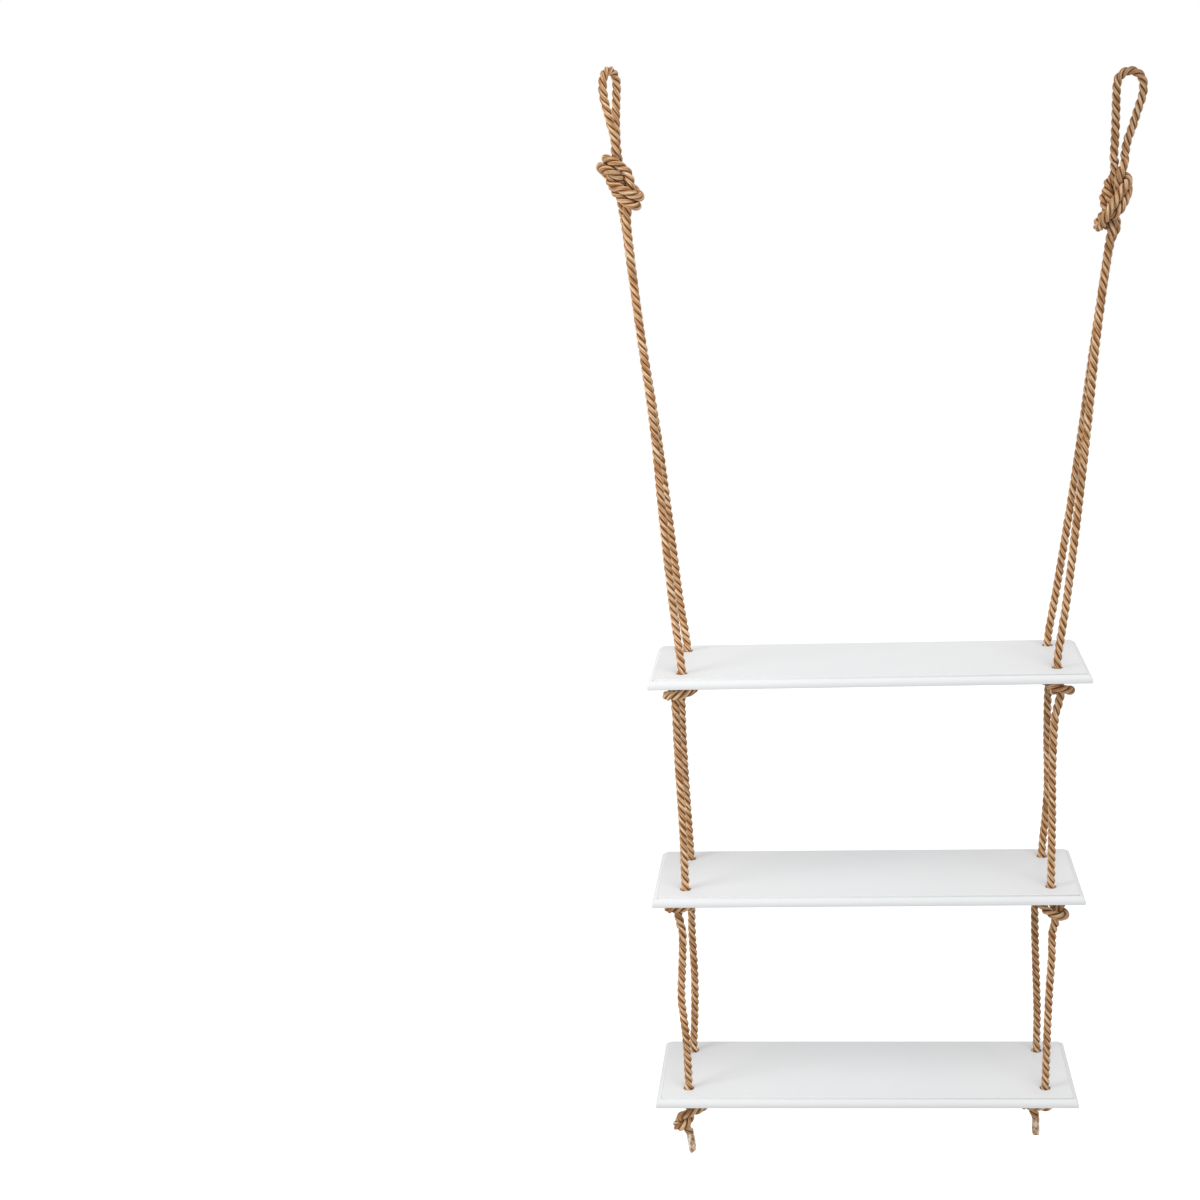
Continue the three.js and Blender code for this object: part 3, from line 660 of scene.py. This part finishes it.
hideIn = 3
ropePieces = {}
tailEnds = {}
for side in ("left", "right"):
    front, frontBend, frontTip = rowPieces(side, "front")
    rear, rearBend, rearTip = rowPieces(side, "rear")
    tailEnds[f"front_{side}"] = (frontBend, frontTip)
    tailEnds[f"rear_{side}"] = (rearBend, rearTip)
    frontTop, rearTop = front[0][1], rear[0][1]
    necks = [(line[0], (line[0] - line[1]).normalized()) for line in (frontTop, rearTop)]
    loop = (f"{side}_loop", loopPoints(side, *necks))
    chain = [(name, points[::-1]) for name, points in front[::-1]] + [loop] + rear
    points = []
    spans = []
    for name, own in chain:
        begin = len(points)
        points += own
        spans.append((name, begin, len(points) - 1))
    line, marks, step = smoothLine(points, rope["step"])
    rope["step"] = step
    frames = layFrames(line)
    total = len(line) - 1
    turns = kdtree.KDTree(len(line))
    for i, point in enumerate(line):
        turns.insert(point, i)
    turns.balance()
    cuts = [0]
    for (name, begin, end), (nextName, nextBegin, nextEnd) in zip(spans, spans[1:]):
        cuts.append(round((marks[end] + marks[nextBegin]) / 2 / step))
    cuts.append(total)
    for (name, begin, end), first, last in zip(spans, cuts, cuts[1:]):
        isKnot = name.endswith("_knot") or name.endswith("_strand")
        isTail = name.endswith("_tail")
        lengthened = 0 if isKnot or isTail else hideIn
        a = max(first - lengthened, 0)
        b = min(last + lengthened, total)
        piece = sweepRope(name + "_jute", frames, a, b, rope["knotSwell"] if isKnot else 1.0,
                          lengthened,
                          (1 if name.startswith("rear") else -1) if isTail else 0,
                          turns if isKnot else None)
        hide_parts(name)
        ropePieces[name] = {"piece": piece, "line": line[a:b + 1], "length": (b - a) * step}
print("ropes swept")

# Tails, cut at a slant

for name, (bend, tip) in tailEnds.items():
    piece = ropePieces[f"{name}_tail"]["piece"]
    turn = math.radians(tails[name]["cut"])
    mesh = bmesh.new()
    mesh.from_mesh(piece.data)
    everything = mesh.verts[:] + mesh.edges[:] + mesh.faces[:]
    cut = bmesh.ops.bisect_plane(mesh, geom=everything, plane_co=tip,
                                 plane_no=(-math.sin(turn), 0, math.cos(turn)), clear_inner=True)
    edges = [g for g in cut["geom_cut"] if isinstance(g, bmesh.types.BMEdge)]
    bmesh.ops.holes_fill(mesh, edges=edges, sides=0)
    mesh.to_mesh(piece.data)
    mesh.free()

for name, facts in ropePieces.items():
    restOnBodies(facts["piece"], name)

for name, facts in ropePieces.items():
    if name.endswith("_rope"):
        tier, knotRow = name.split("_")[2], "_".join(name.split("_")[:2])
        # the line runs up the front half of the rope and down the rear one
        line = facts["line"] if knotRow.startswith("rear") else facts["line"][::-1]
    elif name.endswith("_loop"):
        side = name.split("_")[0]

# Boards

boardEdge = {"stepInset": 0.0055, "stepDrop": 0.0015, "under": 0.0009, "corner": 0.0012, "rim": 0.0004}
boardLook = {
    "paint": linear(233, 234, 235),
    "shade": linear(231, 232, 233),
    # painted shade: how dark the paint turns along the foot of the step
    "stepFootShade": 0.74,
    "cloudScale": 9,
    "cloudFrom": 0.25,
    "cloudTo": 0.6,
    "peelScale": 700,
    "smoothest": 0.52,
    "roughest": 0.64,
    "specular": 0.2,
    "bump": 0.12,
    "bumpDepth": 0.0002,
}


def paintMaterial():
    material, nodes, links, shader = newMaterial("satinWhitePaint")
    place = nodes.new("ShaderNodeTexCoord")
    cloud = nodes.new("ShaderNodeTexNoise")
    cloud.inputs["Scale"].default_value = boardLook["cloudScale"]
    cloud.inputs["Detail"].default_value = 3
    links.new(place.outputs["Object"], cloud.inputs["Vector"])
    colour = nodes.new("ShaderNodeMix")
    colour.data_type = "RGBA"
    colour.inputs["A"].default_value = boardLook["shade"]
    colour.inputs["B"].default_value = boardLook["paint"]
    spread = nodes.new("ShaderNodeMapRange")
    spread.inputs["From Min"].default_value = boardLook["cloudFrom"]
    spread.inputs["From Max"].default_value = boardLook["cloudTo"]
    links.new(cloud.outputs["Fac"], spread.inputs["Value"])
    links.new(spread.outputs["Result"], colour.inputs["Factor"])
    # painted shade: the paint is darkened along the foot of the step round the raised field, where shade
    # falls
    stepFootShade = nodes.new("ShaderNodeAttribute")
    stepFootShade.attribute_name = "stepFootShade"
    paintedStepShade = nodes.new("ShaderNodeMapRange")
    paintedStepShade.inputs["To Min"].default_value = 1
    paintedStepShade.inputs["To Max"].default_value = boardLook["stepFootShade"]
    links.new(stepFootShade.outputs["Fac"], paintedStepShade.inputs["Value"])
    dimmed = nodes.new("ShaderNodeVectorMath")
    dimmed.operation = "SCALE"
    links.new(colour.outputs["Result"], dimmed.inputs[0])
    links.new(paintedStepShade.outputs["Result"], dimmed.inputs["Scale"])
    links.new(dimmed.outputs[0], shader.inputs["Base Color"])
    peel = nodes.new("ShaderNodeTexNoise")
    peel.inputs["Scale"].default_value = boardLook["peelScale"]
    peel.inputs["Detail"].default_value = 2
    links.new(place.outputs["Object"], peel.inputs["Vector"])
    rough = nodes.new("ShaderNodeMapRange")
    rough.inputs["To Min"].default_value = boardLook["smoothest"]
    rough.inputs["To Max"].default_value = boardLook["roughest"]
    links.new(peel.outputs["Fac"], rough.inputs["Value"])
    links.new(rough.outputs["Result"], shader.inputs["Roughness"])
    bump = nodes.new("ShaderNodeBump")
    bump.inputs["Strength"].default_value = boardLook["bump"]
    bump.inputs["Distance"].default_value = boardLook["bumpDepth"]
    links.new(peel.outputs["Fac"], bump.inputs["Height"])
    links.new(bump.outputs["Normal"], shader.inputs["Normal"])
    shader.inputs["Specular IOR Level"].default_value = boardLook["specular"]
    return material


paint = paintMaterial()


def makeBoard(tier):
    facts = tierFacts[tier]
    inset, drop, thick = boardEdge["stepInset"], boardEdge["stepDrop"], boardSize["thick"]
    mesh = bmesh.new()
    bmesh.ops.create_cube(mesh, size=1)
    bmesh.ops.scale(mesh, verts=mesh.verts, vec=(boardSize["length"], boardSize["depth"], thick - drop))
    bmesh.ops.translate(mesh, verts=mesh.verts, vec=(0, 0, -(thick + drop) / 2))
    top = [e for e in mesh.edges if all(v.co.z > -thick / 2 for v in e.verts)]
    bmesh.ops.bevel(mesh, geom=top, offset=inset, segments=7, profile=0.5, affect="EDGES", material=-1)
    field = max(mesh.faces, key=lambda f: f.calc_center_median().z)
    raised = bmesh.ops.extrude_face_region(mesh, geom=[field])
    lifted = [g for g in raised["geom"] if isinstance(g, bmesh.types.BMVert)]
    bmesh.ops.translate(mesh, verts=lifted, vec=(0, 0, drop))
    bmesh.ops.delete(mesh, geom=[f for f in mesh.faces if f.calc_center_median().z > -drop - 1e-6
                                 and all(abs(v.co.z + drop) < 1e-6 for v in f.verts)], context="FACES_ONLY")
    mesh.edges.ensure_lookup_table()
    corners = [e for e in mesh.edges if (e.verts[0].co.x * e.verts[1].co.x > 0
               and e.verts[0].co.y * e.verts[1].co.y > 0
               and abs(e.verts[0].co.z - e.verts[1].co.z) > 1e-5)]
    bmesh.ops.bevel(mesh, geom=corners, offset=boardEdge["corner"], segments=3, profile=0.5,
                    affect="EDGES", material=-1, clamp_overlap=True)
    under = [e for e in mesh.edges if all(v.co.z < -thick + 1e-6 for v in e.verts)]
    bmesh.ops.bevel(mesh, geom=under, offset=boardEdge["under"], segments=3, profile=0.5,
                    affect="EDGES", material=-1, clamp_overlap=True)
    rim = [e for e in mesh.edges if all(abs(v.co.z) < 1e-6 for v in e.verts)]
    bmesh.ops.bevel(mesh, geom=rim, offset=boardEdge["rim"], segments=3, profile=0.5,
                    affect="EDGES", material=-1, clamp_overlap=True)
    bmesh.ops.recalc_face_normals(mesh, faces=mesh.faces)
    data = bpy.data.meshes.new(f"{tier}_board_paint")
    mesh.to_mesh(data)
    mesh.free()
    board = addObject(f"{tier}_board_painted", data)

    drill = bmesh.new()
    for sx in (-1, 1):
        for sy in (-1, 1):
            place = Matrix.Translation((sx * boardSize["holeX"], sy * boardSize["holeY"], -thick / 2))
            bmesh.ops.create_cone(drill, cap_ends=True, segments=40, radius1=boardSize["holeRadius"],
                                  radius2=boardSize["holeRadius"], depth=3 * thick, matrix=place)
    drillData = bpy.data.meshes.new("drill")
    drill.to_mesh(drillData)
    drill.free()
    bits = addObject("drill", drillData)
    boring = board.modifiers.new("boring", "BOOLEAN")
    boring.operation = "DIFFERENCE"
    boring.solver = "EXACT"
    boring.object = bits
    bpy.context.view_layer.update()
    bored = bpy.data.meshes.new_from_object(board.evaluated_get(bpy.context.evaluated_depsgraph_get()))
    board.modifiers.clear()
    bpy.data.objects.remove(bits)
    board.data = bored

    mesh = bmesh.new()
    mesh.from_mesh(bored)
    bmesh.ops.remove_doubles(mesh, verts=mesh.verts, dist=2e-6)

    def onRim(vert, height):
        away = math.hypot(abs(vert.co.x) - boardSize["holeX"], abs(vert.co.y) - boardSize["holeY"])
        return abs(away - boardSize["holeRadius"]) < 2e-4 and abs(vert.co.z - height) < 1e-5

    rims = [e for e in mesh.edges if any(all(onRim(v, h) for v in e.verts) for h in (0, -thick))]
    bmesh.ops.bevel(mesh, geom=rims, offset=boardEdge["rim"], segments=2, profile=0.5,
                    affect="EDGES", material=-1)
    smoothButSharp(mesh)
    # the vertices along the foot of the step, where the paint gets painted shade
    stepFootShade = mesh.verts.layers.float.new("stepFootShade")
    for vert in mesh.verts:
        pastX = abs(vert.co.x) - boardSize["length"] / 2
        pastY = abs(vert.co.y) - boardSize["depth"] / 2
        fromStep = max(pastX, pastY) + inset
        if abs(vert.co.z + drop) < 1e-4 and abs(fromStep) < 2e-4:
            vert[stepFootShade] = 1
    mesh.transform(Matrix.Translation((0, 0, -facts["drop"]))
                   @ Matrix.Rotation(-math.radians(facts["tilt"]), 4, "Y"))
    mesh.to_mesh(bored)
    mesh.free()
    bored.materials.append(paint)
    shading = board.modifiers.new("evenShading", "WEIGHTED_NORMAL")
    shading.keep_sharp = True
    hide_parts(f"{tier}_board")
    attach(board, f"{tier}_tier")


for tier in tierFacts:
    makeBoard(tier)
print("boards made")

# Tape round the rope ends

tape = {
    "radius": 0.00395,
    "step": 0.00014,
    "pitch": 0.0042,
    "wall": 0.00012,
    "fromBend": 0.0008,
    "bare": 0.002,
    "around": 48,
    "ringGap": 0.0004,
    "ripple": 0.00006,
    "rippleAround": 1.3,
    "rippleAlong": 500,
    "rippleSeed": 3.0,
    "clear": linear(214, 178, 136),
    # painted highlight: the milky patches stand for white glare on the glossy tape as well as for its
    # whitened wrinkles
    "milkyAndGlare": linear(250, 234, 214),
    "colourFrom": 0.42,
    "colourTo": 0.58,
    "clearest": 0.05,
    "densest": 0.85,
    "cloudScale": 260,
    "cloudDrawn": (1, 1, 0.45),
    "clearFrom": 0.40,
    "clearTo": 0.60,
    "bump": 0.3,
    "bumpDepth": 0.0003,
    "roughness": 0.28,
}


def tapeMaterial():
    material, nodes, links, shader = newMaterial("thinTape")
    place = nodes.new("ShaderNodeTexCoord")
    cloud = nodes.new("ShaderNodeTexNoise")
    cloud.inputs["Scale"].default_value = tape["cloudScale"]
    cloud.inputs["Detail"].default_value = 2
    drawn = nodes.new("ShaderNodeVectorMath")
    drawn.operation = "MULTIPLY"
    drawn.inputs[1].default_value = tape["cloudDrawn"]
    links.new(place.outputs["Object"], drawn.inputs[0])
    links.new(drawn.outputs[0], cloud.inputs["Vector"])
    # the milky, denser patches are painted highlight, white glare on the tape, together with whitened
    # wrinkles
    colour = nodes.new("ShaderNodeValToRGB")
    colour.color_ramp.elements[0].position = tape["colourFrom"]
    colour.color_ramp.elements[0].color = tape["clear"]
    colour.color_ramp.elements[1].position = tape["colourTo"]
    colour.color_ramp.elements[1].color = tape["milkyAndGlare"]
    links.new(cloud.outputs["Fac"], colour.inputs["Fac"])
    clear = nodes.new("ShaderNodeMapRange")
    clear.inputs["From Min"].default_value = tape["clearFrom"]
    clear.inputs["From Max"].default_value = tape["clearTo"]
    clear.inputs["To Min"].default_value = tape["clearest"]
    clear.inputs["To Max"].default_value = tape["densest"]
    links.new(cloud.outputs["Fac"], clear.inputs["Value"])
    links.new(clear.outputs["Result"], shader.inputs["Alpha"])
    links.new(colour.outputs["Color"], shader.inputs["Base Color"])
    bump = nodes.new("ShaderNodeBump")
    bump.inputs["Strength"].default_value = tape["bump"]
    bump.inputs["Distance"].default_value = tape["bumpDepth"]
    links.new(cloud.outputs["Fac"], bump.inputs["Height"])
    links.new(bump.outputs["Normal"], shader.inputs["Normal"])
    shader.inputs["Roughness"].default_value = tape["roughness"]
    return material


tapeLook = tapeMaterial()


def makeTape(name):
    bend, tip = tailEnds[name]
    along = (tip - bend).normalized()
    around = tape["around"]
    length = (tip - bend).length - tape["fromBend"] + rope["diameter"]
    steps = round(length / tape["ringGap"])
    across = along.orthogonal().normalized()
    upward = along.cross(across)
    start = bend + along * tape["fromBend"]
    verts, faces = [], []
    for i in range(steps + 1):
        travelled = length * i / steps
        for k in range(around):
            angle = 2 * math.pi * k / around
            wrap = (travelled / tape["pitch"] - k / around) % 1
            spot = (angle * tape["rippleAround"], travelled * tape["rippleAlong"], tape["rippleSeed"])
            ripple = noise.noise(Vector(spot)) * tape["ripple"]
            distance = tape["radius"] + tape["step"] * wrap + ripple
            verts.append(start + along * travelled
                         + (across * math.cos(angle) + upward * math.sin(angle)) * distance)
    for i in range(steps):
        for k in range(around):
            a = i * around + k
            b = i * around + (k + 1) % around
            faces.append((a, b, b + around, a + around))
    data = bpy.data.meshes.new(f"{name}_tape_wound")
    data.from_pydata(verts, [], faces)
    turn = math.radians(tails[name]["cut"])
    mesh = bmesh.new()
    mesh.from_mesh(data)
    everything = mesh.verts[:] + mesh.edges[:] + mesh.faces[:]
    bmesh.ops.bisect_plane(mesh, geom=everything, plane_co=tip - along * tape["bare"],
                           plane_no=(-math.sin(turn), 0, math.cos(turn)), clear_inner=True)
    bmesh.ops.solidify(mesh, geom=mesh.faces[:], thickness=tape["wall"])
    bmesh.ops.recalc_face_normals(mesh, faces=mesh.faces)
    smoothButSharp(mesh)
    mesh.to_mesh(data)
    mesh.free()
    data.materials.append(tapeLook)
    piece = addObject(f"{name}_tape_wound", data)
    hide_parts(f"{name}_tape")
    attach(piece, "lower_tier")


for name in tailEnds:
    makeTape(name)
print("tape wound")

# Floor

floorFacts = {"size": 14, "height": -1.45, "shade": 0.6, "glow": 0.62, "roughness": 0.9}


def makeFloor():
    mesh = bmesh.new()
    bmesh.ops.create_grid(mesh, x_segments=1, y_segments=1, size=floorFacts["size"] / 2)
    bmesh.ops.translate(mesh, verts=mesh.verts, vec=(0, 0, floorFacts["height"]))
    data = bpy.data.meshes.new("floor")
    mesh.to_mesh(data)
    mesh.free()
    floor = addObject("floor", data)
    material, nodes, links, shader = newMaterial("paleFloor")
    path = nodes.new("ShaderNodeLightPath")
    seen = nodes.new("ShaderNodeMath")
    seen.operation = "MAXIMUM"
    lift = nodes.new("ShaderNodeMath")
    lift.operation = "MULTIPLY"
    lift.inputs[1].default_value = floorFacts["glow"]
    links.new(path.outputs["Is Camera Ray"], seen.inputs[0])
    links.new(path.outputs["Is Glossy Ray"], seen.inputs[1])
    links.new(seen.outputs[0], lift.inputs[0])
    links.new(lift.outputs[0], shader.inputs["Emission Strength"])
    shader.inputs["Emission Color"].default_value = (1, 1, 1, 1)
    shader.inputs["Base Color"].default_value = (floorFacts["shade"],) * 3 + (1,)
    shader.inputs["Roughness"].default_value = floorFacts["roughness"]
    data.materials.append(material)


makeFloor()
print("scene ready")
